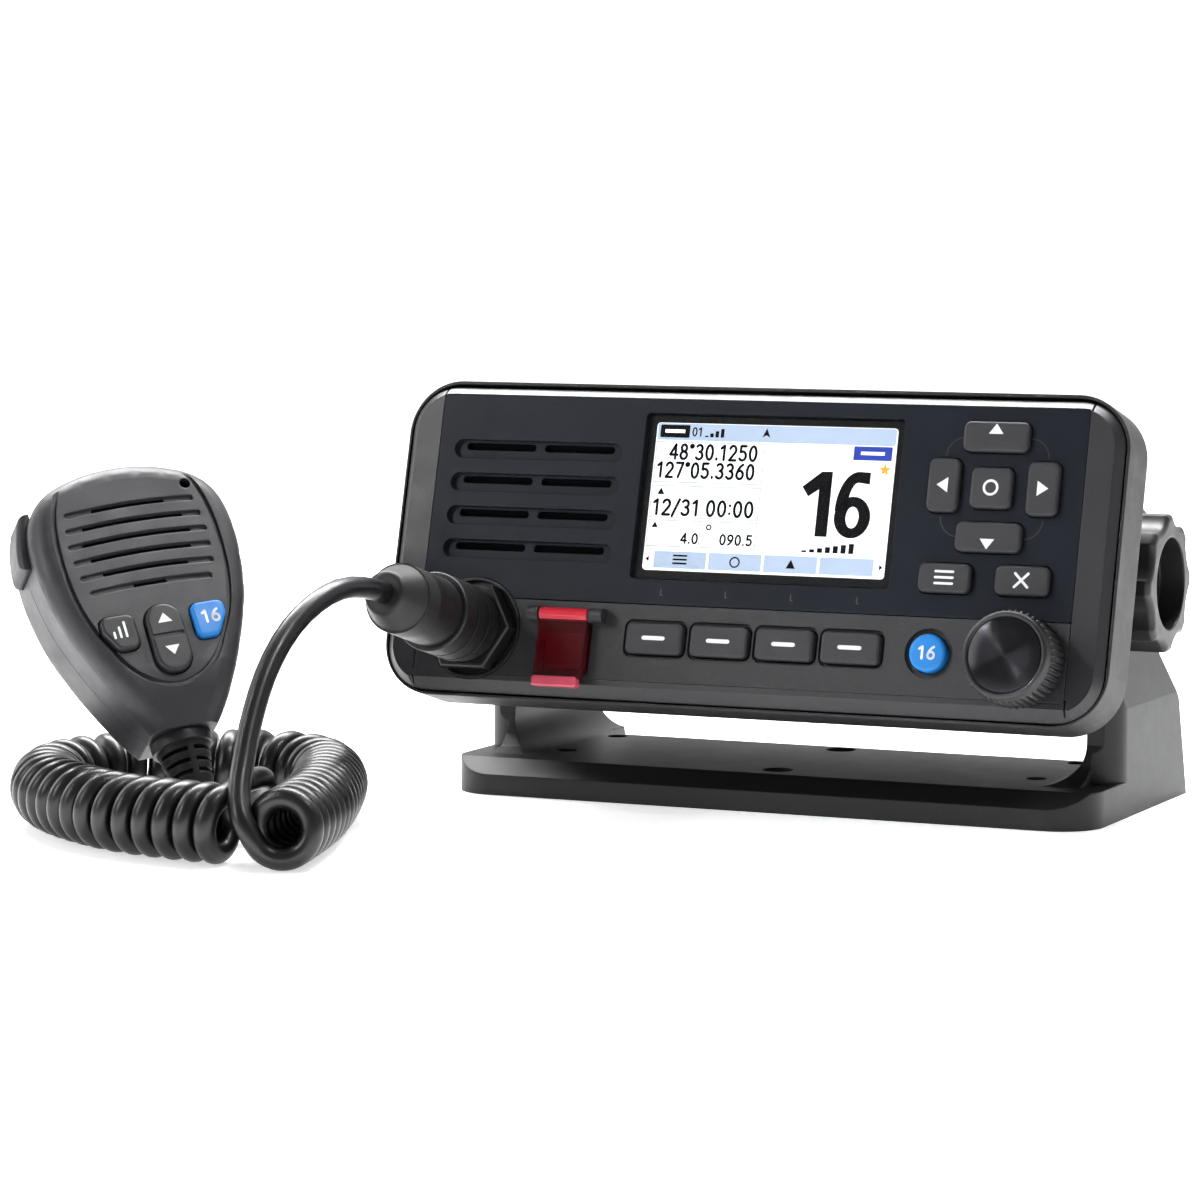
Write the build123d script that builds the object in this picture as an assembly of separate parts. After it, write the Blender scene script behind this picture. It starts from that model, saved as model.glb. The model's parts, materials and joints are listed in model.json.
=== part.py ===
from build123d import *
import math
import os

# Fixed-mount VHF marine radio: a transceiver that tilts in a moulded trunnion
# bracket, with a fist speaker-microphone on a curly cord plugged into its front.
# World frame: +X to the right, +Y to the rear, +Z up, millimetres.
# Origin: centre of the bracket's bottom face.
# Unit frame (the transceiver): x across, y depth behind the front face, z up the face.

# ---------------------------------------------------------------- dimensions
FACE_Y, FACE_Z = -49.51, 73.19      # unit frame origin in the world
TILT = 15.06                        # rest tilt of the transceiver, leaning back
HALF_W = 97.9                       # front frame half width
V_LOW, V_HIGH = -44.7, 35.8         # front frame bottom and top
CORNER = 12.0                       # front frame corner radius
FRAME_T = 6.2                       # front frame depth
SEAL_T = 0.8                        # dark seal line behind the frame
SKIRT_END = 18.0                    # rear face of the case skirt
LIP_W, LIP_LOW, LIP_HIGH = 99.1, -45.9, 37.6   # case lip that wraps the frame's side
LIP_Y = 2.0                         # front edge of the lip
CH_HW, CH_LOW, CH_HIGH = 74.5, -28.0, 29.0   # chassis half width, bottom, top
CH_END = 96.0                       # chassis end
WALL = 3.0
SEAM_L, SEAM_R = -88.95, 89.2       # seam lines between ears and panels
PANEL_T = 3.0
DISP_LOW, DISP_HIGH = -19.95, 33.5  # display panel
KEYP_LOW = -39.9                    # lower panel bottom edge
PIV_Y, PIV_Z = 48.1, -1.0           # clamp axis in the unit frame
LCD_U0, LCD_U1, LCD_V0, LCD_V1 = -30.4, 40.5, -13.4, 29.9
TRAVEL = 1.0                        # key travel
SOCK_U, SOCK_V = -73.0, -28.2       # microphone socket
DIAL_U, DIAL_V = 77.0, -30.4        # rotary dial
DIAL_R = 11.7
BASE_HX, BASE_HY, BASE_T = 89.2, 40.7, 9.3   # bracket base plate
ARM_IN, ARM_IN_TOP, ARM_OUT_TOP = 80.5, 77.5, 86.5
CORD_D = 5.5                        # cord diameter
COIL_D = 19.8                       # outer diameter of the curly cord
COIL_Z = 9.95                       # height of the coil's centre line

os.makedirs("parts", exist_ok=True)
FACE = Location((0, FACE_Y, FACE_Z), (-TILT, 0, 0))


def prism(x0, x1, y0, y1, z0, z1, r=0.0):
    """Rounded rectangle in x-z, extruded along y."""
    w, h = x1 - x0, z1 - z0
    sk = RectangleRounded(w, h, r) if r > 0 else Rectangle(w, h)
    pl = Plane(origin=((x0 + x1) / 2, y1, (z0 + z1) / 2), x_dir=(1, 0, 0), z_dir=(0, -1, 0))
    return extrude(pl * sk, amount=y1 - y0)


def rod_y(x, z, r, y0, y1):
    pl = Plane(origin=(x, y1, z), x_dir=(1, 0, 0), z_dir=(0, -1, 0))
    return extrude(pl * Circle(r), amount=y1 - y0)


def rod_x(y, z, r, x0, x1):
    pl = Plane(origin=(x0, y, z), x_dir=(0, 1, 0), z_dir=(1, 0, 0))
    return extrude(pl * Circle(r), amount=x1 - x0)


def hex_y(x, z, flats, y0, y1):
    pl = Plane(origin=(x, y1, z), x_dir=(1, 0, 0), z_dir=(0, -1, 0))
    return extrude(pl * RegularPolygon(flats / 2, 6, major_radius=False), amount=y1 - y0)


def front_edges(s, y, tol=0.05):
    return s.edges().filter_by(lambda e: abs(e.bounding_box().min.Y - y) < tol and abs(e.bounding_box().max.Y - y) < tol)


def soft(s, y, r):
    """Round the edges that lie in the plane y; falls back to a chamfer."""
    ed = front_edges(s, y)
    for f in (fillet, chamfer):
        for k in (1.0, 0.6, 0.35):
            try:
                t = f(ed, r * k)
                if t.is_valid and t.volume > 0:
                    return t
            except Exception:
                pass
    return s


NODES = {}


def add(name, shape):
    NODES[name] = shape


# ---------------------------------------------------------------- transceiver
U = {}          # pieces in the unit frame

frame = prism(-HALF_W, HALF_W, 0, FRAME_T, V_LOW, V_HIGH, CORNER)
frame = chamfer(front_edges(frame, 0), 2.1)
frame -= prism(-88.9, 89.0, -1, FRAME_T + 1, -40.0, 33.6, 1.0)
# lower bevel across the full width
bev = make_face(Polyline((-120, -1.0, -40.2), (-120, -1.0, -47.5), (-120, 4.6, -47.5), (-120, -1.0, -40.2)))
frame -= extrude(bev, amount=240, dir=(1, 0, 0))
for u in (SEAM_L, SEAM_R):
    frame -= prism(u - 0.25, u + 0.25, -0.2, 2.8, 33.0, 37.0)
    frame -= prism(u - 0.25, u + 0.25, -0.2, 1.4, -44.4, -39.0)
# crescent of the moulding beside the socket, and relief for the socket boss
frame += prism(-90.0, -78.0, 0, PANEL_T, -41.0, -20.1)
frame -= prism(SEAM_L - 0.25, SEAM_L + 0.25, -0.2, 0.5, -39.5, -20.0)
frame -= rod_y(SOCK_U, SOCK_V, 13.4, -1, 3.2)
U["front_frame"] = frame

seal = prism(-97.3, 97.3, FRAME_T, FRAME_T + SEAL_T, -44.1, 35.2, 11.4)
seal -= prism(-91.0, 91.0, 5, 8, -41.0, 31.5, 6.0)
U["front_seal"] = seal

S0 = FRAME_T + SEAL_T
# the case's skirt: its lip wraps the frame's side with a narrow gap
skirt = prism(-LIP_W, LIP_W, LIP_Y, SKIRT_END, LIP_LOW, LIP_HIGH, 14.2)
skirt = chamfer(front_edges(skirt, SKIRT_END), 1.4)
skirt = soft(skirt, LIP_Y, 0.3)
skirt -= prism(-LIP_W + 0.7, LIP_W - 0.7, LIP_Y - 1, S0, LIP_LOW + 0.7, LIP_HIGH - 0.9, 13.4)
skirt -= prism(-91.5, 91.5, S0 - 1, 15.2, -41.5, 31.5, 7.0)
case = skirt + prism(-CH_HW, CH_HW, 14.6, CH_END, CH_LOW, CH_HIGH, 6.0)
for s in (-1, 1):
    case += rod_x(PIV_Y, PIV_Z, 13.0, 74.0 if s > 0 else -76.0, 76.0 if s > 0 else -74.0)
case -= prism(-CH_HW + WALL, CH_HW - WALL, 13.0, CH_END + 1, CH_LOW + WALL, CH_HIGH - WALL, 4.0)
for s in (-1, 1):
    a, b = (60.0, 80.0) if s > 0 else (-80.0, -60.0)
    case -= rod_x(PIV_Y, PIV_Z, 6.0, a, b)
    # board rails
    x0, x1 = (66.5, 71.6) if s > 0 else (-71.6, -66.5)
    case += prism(x0, x1, 24.0, 92.0, -18.0, -15.5)
U["rear_case"] = case

ins = None
for s in (-1, 1):
    a, b = (67.0, 76.0) if s > 0 else (-76.0, -67.0)
    t = rod_x(PIV_Y, PIV_Z, 6.0, a, b)
    a2, b2 = (68.0, 77.0) if s > 0 else (-77.0, -68.0)
    t -= rod_x(PIV_Y, PIV_Z, 3.08, a2, b2)
    ins = t if ins is None else ins + t
U["clamp_inserts"] = ins

# finned rear cover with openings for the antenna socket and cable inlets
ANT = (50.0, 12.0)
GL = ((36.0, -14.0), (58.0, -14.0))
cover = prism(-CH_HW, CH_HW, CH_END, CH_END + 3.0, CH_LOW, CH_HIGH, 6.0)
for i in range(17):
    u = -70.0 + 5.6 * i
    cover += prism(u - 1.0, u + 1.0, CH_END + 2.5, CH_END + 10.5, CH_LOW + 3, CH_HIGH - 3)
cover += prism(27.0, 71.5, CH_END + 2.5, CH_END + 5.0, CH_LOW + 3, CH_HIGH - 3, 3.0)
cover -= rod_y(ANT[0], ANT[1], 8.0, CH_END - 1, CH_END + 8)
for g in GL:
    cover -= rod_y(g[0], g[1], 5.0, CH_END - 1, CH_END + 8)
SCREW_UV = ((-69.5, -23.0), (-69.5, 24.0), (69.0, -23.0), (69.0, 24.0))
for su, sv in SCREW_UV:
    cover -= rod_y(su, sv, 3.6, CH_END + 2.0, CH_END + 12)
    cover -= rod_y(su, sv, 1.8, CH_END - 1, CH_END + 4)
U["rear_cover"] = cover

scr = None
for su, sv in SCREW_UV:
    t = rod_y(su, sv, 3.0, CH_END + 2.0, CH_END + 4.0) + rod_y(su, sv, 1.5, CH_END - 9, CH_END + 2.5)
    t -= prism(su - 2.2, su + 2.2, CH_END + 3.2, CH_END + 5, sv - 0.4, sv + 0.4)
    t -= prism(su - 0.4, su + 0.4, CH_END + 3.2, CH_END + 5, sv - 2.2, sv + 2.2)
    scr = t if scr is None else scr + t
    case_boss = rod_y(su - (1.0 if su > 0 else -1.0) * 0.0, sv, 3.4, CH_END - 14, CH_END) - rod_y(su, sv, 1.52, CH_END - 10, CH_END + 1)
    U["rear_case"] = U["rear_case"] - rod_y(su, sv, 1.52, CH_END - 10, CH_END + 1)
    U["rear_case"] = U["rear_case"] + case_boss
U["cover_screws"] = scr

ant = rod_y(ANT[0], ANT[1], 9.5, CH_END + 5.0, CH_END + 6.5) + rod_y(ANT[0], ANT[1], 8.0, CH_END - 4, CH_END + 5.2)
ant += rod_y(ANT[0], ANT[1], 7.9, CH_END + 6.0, CH_END + 18.0)
ant -= rod_y(ANT[0], ANT[1], 5.6, CH_END + 8.0, CH_END + 19.0)
ant += rod_y(ANT[0], ANT[1], 4.6, CH_END + 7.0, CH_END + 16.5)
ant -= rod_y(ANT[0], ANT[1], 2.1, CH_END + 9.0, CH_END + 19.0)
U["antenna_socket"] = ant
gl = None
for g in GL:
    t = rod_y(g[0], g[1], 5.0, CH_END - 3, CH_END + 5.5) + rod_y(g[0], g[1], 7.0, CH_END + 5.0, CH_END + 8.5)
    t += rod_y(g[0], g[1], 6.0, CH_END - 3, CH_END)
    t = soft(t, CH_END + 8.5, 1.2)
    t -= rod_y(g[0], g[1], 3.0, CH_END - 5, CH_END + 12)
    gl = t if gl is None else gl + t
U["cable_glands"] = gl

# display panel: window, keypad holes, four speaker slots
disp = prism(-88.75, 88.85, 0, PANEL_T, DISP_LOW + 0.1, DISP_HIGH, 0.8)
disp -= prism(LCD_U0, LCD_U1, -1, 4, LCD_V0, LCD_V1, 1.2)
SLOTS = [19.16 - 8.82 * i for i in range(4)]
for v in SLOTS:
    disp -= prism(-84.4, -36.1, -1, 1.5, v - 2.42, v + 2.42, 2.4)
    disp -= prism(-81.5, -61.5, -1, 4, v - 0.1, v + 1.8, 0.9)
    disp -= prism(-59.0, -39.0, -1, 4, v - 0.1, v + 1.8, 0.9)
KEYS = {          # name: (centre u, centre v, width, height, corner radius)
    "key_up": (65.4, 25.75, 17.2, 7.6, 1.8),
    "key_down": (65.7, 0.45, 17.2, 7.6, 1.8),
    "key_left": (52.7, 13.2, 8.2, 13.6, 1.8),
    "key_right": (78.7, 13.0, 8.2, 13.6, 1.8),
    "key_enter": (65.3, 12.85, 10.8, 10.4, 1.8),
    "key_menu": (55.4, -10.15, 13.7, 7.5, 1.8),
    "key_clear": (75.6, -10.1, 14.0, 7.5, 1.8),
}
GAP = 0.3
for n, (u, v, w, h, r) in KEYS.items():
    disp -= prism(u - w / 2 - GAP, u + w / 2 + GAP, -1, 4, v - h / 2 - GAP, v + h / 2 + GAP, r + GAP)
disp -= rod_y(SOCK_U, SOCK_V, 13.4, -1, 4)
U["display_panel"] = disp

low = prism(-73.0, 88.85, 0, PANEL_T, KEYP_LOW, DISP_LOW - 0.15)
for i in range(4):
    u, v = -21.3 + 17.85 * i, -28.8
    low -= prism(u - 8.7, u + 8.7, -1, 1.2, v - 4.85, v + 4.85, 2.2)
    low -= prism(u - 7.8 - GAP, u + 7.8 + GAP, -1, 4, v - 4.0 - GAP, v + 4.0 + GAP, 1.8)
    KEYS["soft_key_%d" % (i + 1)] = (u, v, 15.6, 8.0, 1.5)
CH_U, CH_V = 52.8, -29.1
low -= rod_y(CH_U, CH_V, 6.3, -1, 1.2)
low -= rod_y(CH_U, CH_V, 5.1, -1, 4)
low -= rod_y(SOCK_U, SOCK_V, 13.4, -1, 4)
low -= rod_y(DIAL_U, DIAL_V, 4.05, -1, 4)
# well of the guarded key, with two hinge ears at its top
LID_U0, LID_U1 = -53.0, -39.5
LID_PIV = (-2.2, -23.9)             # hinge axis: y, z in the unit frame
low -= prism(LID_U0 - 0.3, LID_U1 + 0.3, -1, 1.6, -39.0, -22.0, 0.8)
low -= prism(-52.0, -40.6, -1, 4, -37.4, -28.0, 1.0)
for a, b in ((-56.3, -53.4), (-39.1, -35.3)):
    ear = rod_x(LID_PIV[0], LID_PIV[1], 1.9, a, b) + prism(a, b, LID_PIV[0], 0.5, LID_PIV[1] - 1.9, LID_PIV[1] + 1.9)
    low += ear
low -= rod_x(LID_PIV[0], LID_PIV[1], 0.8, -55.8, -35.8)
U["lower_panel"] = low

U["display_window"] = prism(LCD_U0 + 0.1, LCD_U1 - 0.1, 0.5, 1.6, LCD_V0 + 0.1, LCD_V1 - 0.1, 1.1)
U["lcd_module"] = prism(LCD_U0 + 0.4, LCD_U1 - 0.4, 1.65, 7.6, LCD_V0 + 0.4, LCD_V1 - 0.4, 0.8)

spk = rod_y(-60.2, 6.0, 21.5, 4.4, 6.4) + rod_y(-60.2, 6.0, 11.0, 12.0, 17.4)
pl = Plane(origin=(-60.2, 6.4, 6.0), x_dir=(1, 0, 0), z_dir=(0, 1, 0))
spk += extrude(pl * Circle(20.0), amount=6.2, taper=40)
spk -= rod_y(-60.2, 6.0, 17.0, 4.0, 5.2)
U["speaker"] = spk
U["speaker_mesh"] = prism(-84.0, -36.4, 3.1, 4.2, -13.0, 25.0, 2.0)

mat = prism(44.0, 86.0, 5.0, 8.1, -16.0, 30.6, 2.0) + prism(-33.0, 60.5, 5.0, 8.1, -37.0, -16.9, 2.0)
mat += prism(44.0, 60.5, 5.0, 8.1, -20.0, -14.0)
mat -= rod_y(DIAL_U, DIAL_V, 9.0, 4, 9)
U["key_mat"] = mat
board = prism(-34.0, 87.0, 8.2, 9.8, -38.5, 30.6, 2.0)
board -= rod_y(DIAL_U, DIAL_V, 1.2, 8, 10)
U["front_board"] = board
mb = Pos(0, 58.0, -14.7) * Box(142.4, 66.0, 1.5)
U["main_board"] = mb

enc = prism(DIAL_U - 6.5, DIAL_U + 6.5, 3.2, 8.1, DIAL_V - 6.5, DIAL_V + 6.5, 0.6)
enc += rod_y(DIAL_U, DIAL_V, 4.0, -2.2, 3.4)
enc -= rod_y(DIAL_U, DIAL_V, 3.06, -3, 6.6)
U["encoder_body"] = enc
U["dial_shaft"] = rod_y(DIAL_U, DIAL_V, 3.0, -9.5, 5.2)
knob = rod_y(DIAL_U, DIAL_V, DIAL_R, -13.2, -1.2)
knob = soft(knob, -13.2, 1.6)
knob = soft(knob, -1.2, 0.8)
knob -= rod_y(DIAL_U, DIAL_V, 3.05, -9.65, 0)
knob -= rod_y(DIAL_U, DIAL_V, 5.0, -5.0, 0)
knob -= rod_y(DIAL_U, DIAL_V, 9.4, -14, -12.5)
U["dial_knob"] = knob
U["dial_disc"] = rod_y(DIAL_U, DIAL_V, 9.3, -13.0, -12.5)

for n, (u, v, w, h, r) in KEYS.items():
    out = -1.7 if n.startswith("key") else -1.4
    k = prism(u - w / 2, u + w / 2, out, 3.2, v - h / 2, v + h / 2, r)
    k = soft(k, out, 0.7)
    dx = 0.9 if n in ("key_left", "key_right", "key_enter") else 1.2
    dz = 0.9 if n in ("key_up", "key_down", "key_enter") else 1.2
    k += prism(u - w / 2 - dx * 0.6, u + w / 2 + dx * 0.6, 3.15, 3.95, v - h / 2 - dz * 0.6, v + h / 2 + dz * 0.6, r)
    U[n] = k
k = rod_y(CH_U, CH_V, 4.8, -1.7, 3.2)
k = soft(k, -1.7, 0.9)
k += rod_y(CH_U, CH_V, 5.9, 3.15, 3.95)
U["key_channel"] = k
k = prism(-51.7, -40.9, -0.4, 3.2, -37.1, -28.3, 1.2)
k = soft(k, -0.4, 0.7)
k += prism(-52.6, -40.0, 3.15, 3.95, -38.0, -27.4, 1.2)
U["distress_key"] = k
U["alarm_switch"] = prism(-50.0, -42.6, 5.1, 8.1, -36.4, -29.0, 0.5)

# hinged guard over the key
py, pz = LID_PIV
lid = prism(LID_U0, LID_U1, -3.3, -2.0, -41.6, -25.0, 0.0)
lid += rod_x(py, pz, 1.75, LID_U0, LID_U1)
lid += prism(LID_U0, LID_U0 + 1.1, -2.2, 1.1, -38.6, -26.2)
lid += prism(LID_U1 - 1.1, LID_U1, -2.2, 1.1, -38.6, -26.2)
lid += prism(LID_U0 + 0.4, LID_U1 - 0.4, -5.2, -1.8, -43.0, -40.2, 0.9)
lid += prism(LID_U0, LID_U1, -3.3, -2.0, -41.0, -24.4)
lid -= rod_x(py, pz, 0.86, LID_U0 - 1, LID_U1 + 1)
U["distress_lid"] = lid
U["lid_pin"] = rod_x(py, pz, 0.8, -55.8, -35.8)

# microphone socket and plug, on one axis along y
su, sv = SOCK_U, SOCK_V
cup = rod_y(su, sv, 13.3, -0.4, 3.1)
cup += rod_y(su, sv, 11.4, 3.0, 8.0)
cup -= rod_y(su, sv, 12.5, -0.6, 1.4)
cup += rod_y(su, sv, 9.0, -9.0, 14.0)
cup -= rod_y(su, sv, 7.3, -9.5, 12.0)
U["mic_socket"] = cup
nut = hex_y(su, sv, 21.5, -4.6, 1.35)
nut = soft(nut, -4.6, 0.8)
nut -= rod_y(su, sv, 9.05, -6, 2)
U["socket_nut"] = nut
plug = rod_y(su, sv, 7.2, -34.0, 11.0)
plug += rod_y(su, sv, 9.0, -38.0, -25.3)
plug -= rod_y(su, sv, 6.0, 4.0, 12)
U["plug_body"] = plug
ring = rod_y(su, sv, 10.3, -25.1, -9.2)
ring += rod_y(su, sv, 9.7, -9.3, -5.4)
ring = soft(ring, -25.1, 0.7)
for y in (-12.0, -18.2):
    ring -= rod_y(su, sv, 12, y - 0.35, y + 0.35) - rod_y(su, sv, 9.8, y - 1, y + 1)
ring -= rod_y(su, sv, 9.1, -9.15, -5)
ring -= rod_y(su, sv, 7.3, -26, -9)
U["plug_ring"] = ring
pl = Plane(origin=(su, -38.0, sv), x_dir=(1, 0, 0), z_dir=(0, -1, 0))
boot = extrude(pl * Circle(9.0), amount=6.0)
boot += extrude(Plane(origin=(su, -44.0, sv), x_dir=(1, 0, 0), z_dir=(0, -1, 0)) * Circle(8.6), amount=8.0, taper=22)
boot = soft(boot, -52.0, 1.6)
U["plug_boot"] = boot

for n, s in U.items():
    add(n, FACE * s)

# ---------------------------------------------------------------- bracket
PYW = FACE_Y + PIV_Y * math.cos(math.radians(TILT)) + PIV_Z * math.sin(math.radians(TILT))
PZW = FACE_Z - PIV_Y * math.sin(math.radians(TILT)) + PIV_Z * math.cos(math.radians(TILT))
R = 9.0
sec = Polyline(
    (-BASE_HX, 0, 0), (BASE_HX, 0, 0), (BASE_HX, 0, 28), (ARM_OUT_TOP, 0, 46), (ARM_OUT_TOP, 0, 80),
    (ARM_IN_TOP, 0, 80), (ARM_IN_TOP, 0, 46), (ARM_IN, 0, 28), (ARM_IN, 0, BASE_T),
    (-ARM_IN, 0, BASE_T), (-ARM_IN, 0, 28), (-ARM_IN_TOP, 0, 46), (-ARM_IN_TOP, 0, 80),
    (-ARM_OUT_TOP, 0, 80), (-ARM_OUT_TOP, 0, 46), (-BASE_HX, 0, 28), (-BASE_HX, 0, 0))
u_solid = extrude(make_face(sec), amount=BASE_HY + 5, dir=(0, 1, 0)) + extrude(make_face(sec), amount=BASE_HY + 5, dir=(0, -1, 0))
inner = u_solid.edges().filter_by(Axis.Y).filter_by(lambda e: abs(abs(e.center().X) - ARM_IN) < 0.1 and abs(e.center().Z - BASE_T) < 0.1)
u_solid = fillet(inner, R)
# side outline: plate, leaning rear edge and rounded clamp eye
TR = 15.0
side = Polyline(
    (0, -BASE_HY, 0), (0, BASE_HY, 0), (0, 38.1, BASE_T), (0, 33.3, 26.1), (0, 21.2, 38.9),
    (0, 15.2, 48.0), (0, PYW + TR, PZW - 2), (0, PYW + TR, PZW), (0, PYW, PZW + 0.0), (0, PYW - TR, PZW), (0, PYW - TR, PZW - 6), (0, -17.2, 40),
    (0, -16.2, 28), (0, -16.4, 19), (0, -18.0, 13.6), (0, -21.5, 10.6), (0, -27.0, BASE_T), (0, -34.5, BASE_T), (0, -BASE_HY, 5.4), (0, -BASE_HY, 0))
side_solid = extrude(make_face(side), amount=100, dir=(1, 0, 0)) + extrude(make_face(side), amount=100, dir=(-1, 0, 0))
side_solid += rod_x(PYW, PZW, TR, -100, 100)
br = u_solid & side_solid
plan = extrude(RectangleRounded(2 * BASE_HX, 2 * BASE_HY + 40, 12.0), amount=100)
plan = Pos(0, 20, 0) * plan
br = br & plan
# rounded front corners of the arms, and the plate's rear edge set in between them
for s in (-1, 1):
    low_cut = Pos(s * 86.2, -30.0, BASE_T + 17.35) * Box(8.0, 40.0, 34.7) - Pos(s * 82.2, -10.0, 26.0) * Cylinder(7.0, 60.0)
    br -= low_cut
# the rounding dies away under the clamp eye
kept = loft([Pos(0, 13.0, 44.0) * RectangleRounded(2 * BASE_HX, 60.0, 7.0), Pos(0, 13.0, 54.0) * RectangleRounded(2 * BASE_HX, 63.4, 0.8)], ruled=True)
for s in (-1, 1):
    br -= Pos(s * 86.2, -30.0, 49.0) * Box(8.0, 40.0, 10.0) - kept
notch = extrude(Pos(0, 33.3 + 12) * RectangleRounded(2 * 73.0, 44.0, 7.0), amount=20)
br -= Pos(0, 0, -2) * notch
for s in (-1, 1):
    a, b = (70.0, 95.0) if s > 0 else (-95.0, -70.0)
    br -= rod_x(PYW, PZW, 3.4, a, b)
HOLES = [(66.3, -14.1, 2.75), (-66.3, -14.1, 2.75), (66.3, 18.65, 2.75), (-66.3, 18.65, 2.75),
         (0, -26.5, 4.1), (0, 17.9, 4.1)]
for hx, hy, hr in HOLES:
    br -= Pos(hx, hy, BASE_T / 2) * Cylinder(hr, BASE_T + 2)
add("mounting_bracket", br)

wsh = None
for s in (-1, 1):
    a, b = (76.05, 77.45) if s > 0 else (-77.45, -76.05)
    t = rod_x(PYW, PZW, 11.0, a, b) - rod_x(PYW, PZW, 3.4, a - 1, b + 1)
    wsh = t if wsh is None else wsh + t
add("clamp_washers", wsh)


def clamp_knob():
    """Lobed hand knob with a moulded-in stud, axis along +X from x = 0 at the arm."""
    k = rod_x(0, 0, 17.6, 1.0, 11.5)
    for i in range(8):
        a = math.radians(22.5 + 45 * i)
        k -= rod_x(25.6 * math.cos(a), 25.6 * math.sin(a), 10.0, 0, 13)
    try:
        k = fillet(k.edges().filter_by(lambda e: e.bounding_box().min.X > 11.4), 1.6)
    except Exception:
        pass
    k -= rod_x(0, 0, 11.8, 4.8, 13)
    k += rod_x(0, 0, 5.0, 4.5, 6.0)
    k += rod_x(0, 0, 9.0, 0.3, 1.5)
    k += rod_x(0, 0, 3.0, -17.5, 2.0)
    return k


ck = clamp_knob()
add("clamp_knob_right", Pos(ARM_OUT_TOP, PYW, PZW) * ck)
add("clamp_knob_left", Location((-ARM_OUT_TOP, PYW, PZW), (0, 0, 180)) * ck)

# ---------------------------------------------------------------- microphone
# local frame: x across, y to its back, z along its axis, origin at the foot of the body
MX = Vector(0.6545, 0.7467, 0.1187)
MZ = Vector(-0.4488, 0.2574, 0.8557)
MIC_O = Vector(-118.87, -132.01, 28.63)
MIC = Plane(origin=MIC_O, x_dir=MX, z_dir=MZ).location
HALF = [(-6, 8.6), (-3, 10.8), (0, 12.7), (4, 14.9), (12, 18.9), (18, 21.4), (26, 24.2), (32, 25.5), (40, 26.5), (48, 26.3), (54, 24.9),
        (59.5, 21.0), (62.8, 15.0)]
MIC_TOP = 65.4
FOOT = -6.0                         # foot of the body, where the strain relief starts


def mic_outline(off=0.0):
    right = [(w - off, z + (off if i == 0 else 0) - (off * 0.9 if z > 55 else 0)) for i, (z, w) in enumerate(HALF)]
    pts = [Vector(x, 0, z) for x, z in right] + [Vector(0, 0, MIC_TOP - off)] + [Vector(-x, 0, z) for x, z in reversed(right)]
    curve = Spline(*pts)
    base = Line(pts[-1], pts[0])
    return make_face([curve, base])


def mic_slab(off, y0, y1, taper=0.0):
    f = Pos(0, y1, 0) * mic_outline(off)
    return extrude(f, amount=y1 - y0, dir=(0, -1, 0))


def arched(z, w, h, rise, y0, y1):
    """Slot with round ends along a shallow arch, cut along y."""
    pl = Plane(origin=(0, y1, z), x_dir=(1, 0, 0), z_dir=(0, -1, 0))
    arc = ThreePointArc((-w, -rise * w * w / 324.0), (0, 0), (w, -rise * w * w / 324.0))
    return extrude(pl * SlotArc(arc=arc, height=h), amount=y1 - y0)


def key_shape(side, grow, y0, y1):
    """Shield-shaped side key: wide top, outer lower corner cut away."""
    pts = [(7.4, 23.6), (16.2, 23.6), (16.2, 19.8), (13.0, 14.2), (7.4, 14.2)]
    pl = Plane(origin=(0, y1, 0), x_dir=(1, 0, 0), z_dir=(0, -1, 0))
    f = make_face(Polyline(*[(side * x, z) for x, z in pts + pts[:1]]))
    f = fillet(f.vertices(), 2.0)
    if grow:
        f = offset(f, amount=grow)
    return extrude(pl * f, amount=y1 - y0)


def plate_edge(inset):
    """Outline of the face plate: a rounded foot and sides that run out at the top."""
    half = [(0.0, 3.3), (3.2, 3.8), (7.7, 5.9), (11.9, 9.7), (15.1, 15.2), (17.8, 20.4), (19.4, 25.0), (20.5, 29.8), (21.3, 39.5), (20.9, 48.5),
            (19.0, 56.5), (17.0, 61.0), (14.0, 66.0)]
    out = []
    for i, (x, z) in enumerate(half):
        a, b = half[max(i - 1, 0)], half[min(i + 1, len(half) - 1)]
        tx, tz = b[0] - a[0], b[1] - a[1]
        if i == 0:
            tx, tz = 1.0, 0.0
        ln = math.hypot(tx, tz)
        out.append((x - tz / ln * inset, z + tx / ln * inset))
    right = [Vector(x, 0, z) for x, z in out]
    left = [Vector(-x, 0, z) for x, z in reversed(out[1:])]
    curve = Spline(*(left + right))
    return make_face([curve, Line(right[-1], left[0])])


M = {}
front = mic_slab(0.0, -13.0, -0.15)
# the foot curves back towards the cord, then the whole rim is rounded
arc = ThreePointArc((-40, -13.0, 9.0), (-40, -11.85, 1.6), (-40, -8.4, -6.6))
sec = make_face([arc, Polyline(arc @ 1, (-40, -8.4, -9.0), (-40, -15.0, -9.0), (-40, -15.0, 9.0), arc @ 0)])
front -= extrude(sec, amount=80, dir=(1, 0, 0))
rim = front.edges().filter_by(lambda e: e.bounding_box().max.Y <= -8.0 and e.bounding_box().size.Z > 0.2)
for rr in (5.0, 4.0, 3.0):
    try:
        rounded = fillet(rim, rr)
        if rounded.is_valid:
            front = rounded
            break
    except Exception:
        pass
front -= mic_slab(2.2, -10.6, 0.5) - Pos(0, -10.6, -2.5) * Box(60, 6.0, 7.5)
for z, w, t in ((53.4, 17.0, 9.6), (49.1, 17.8, 13.2), (44.8, 18.2, 14.2), (40.4, 18.0, 13.2), (36.0, 17.5, 11.2), (31.6, 16.0, 4.4)):
    front -= arched(z, w - 0.8, 1.6, 1.0, -14, -12.0)
    front -= arched(z, t - 0.6, 1.2, 1.0, -14, -8)
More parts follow.
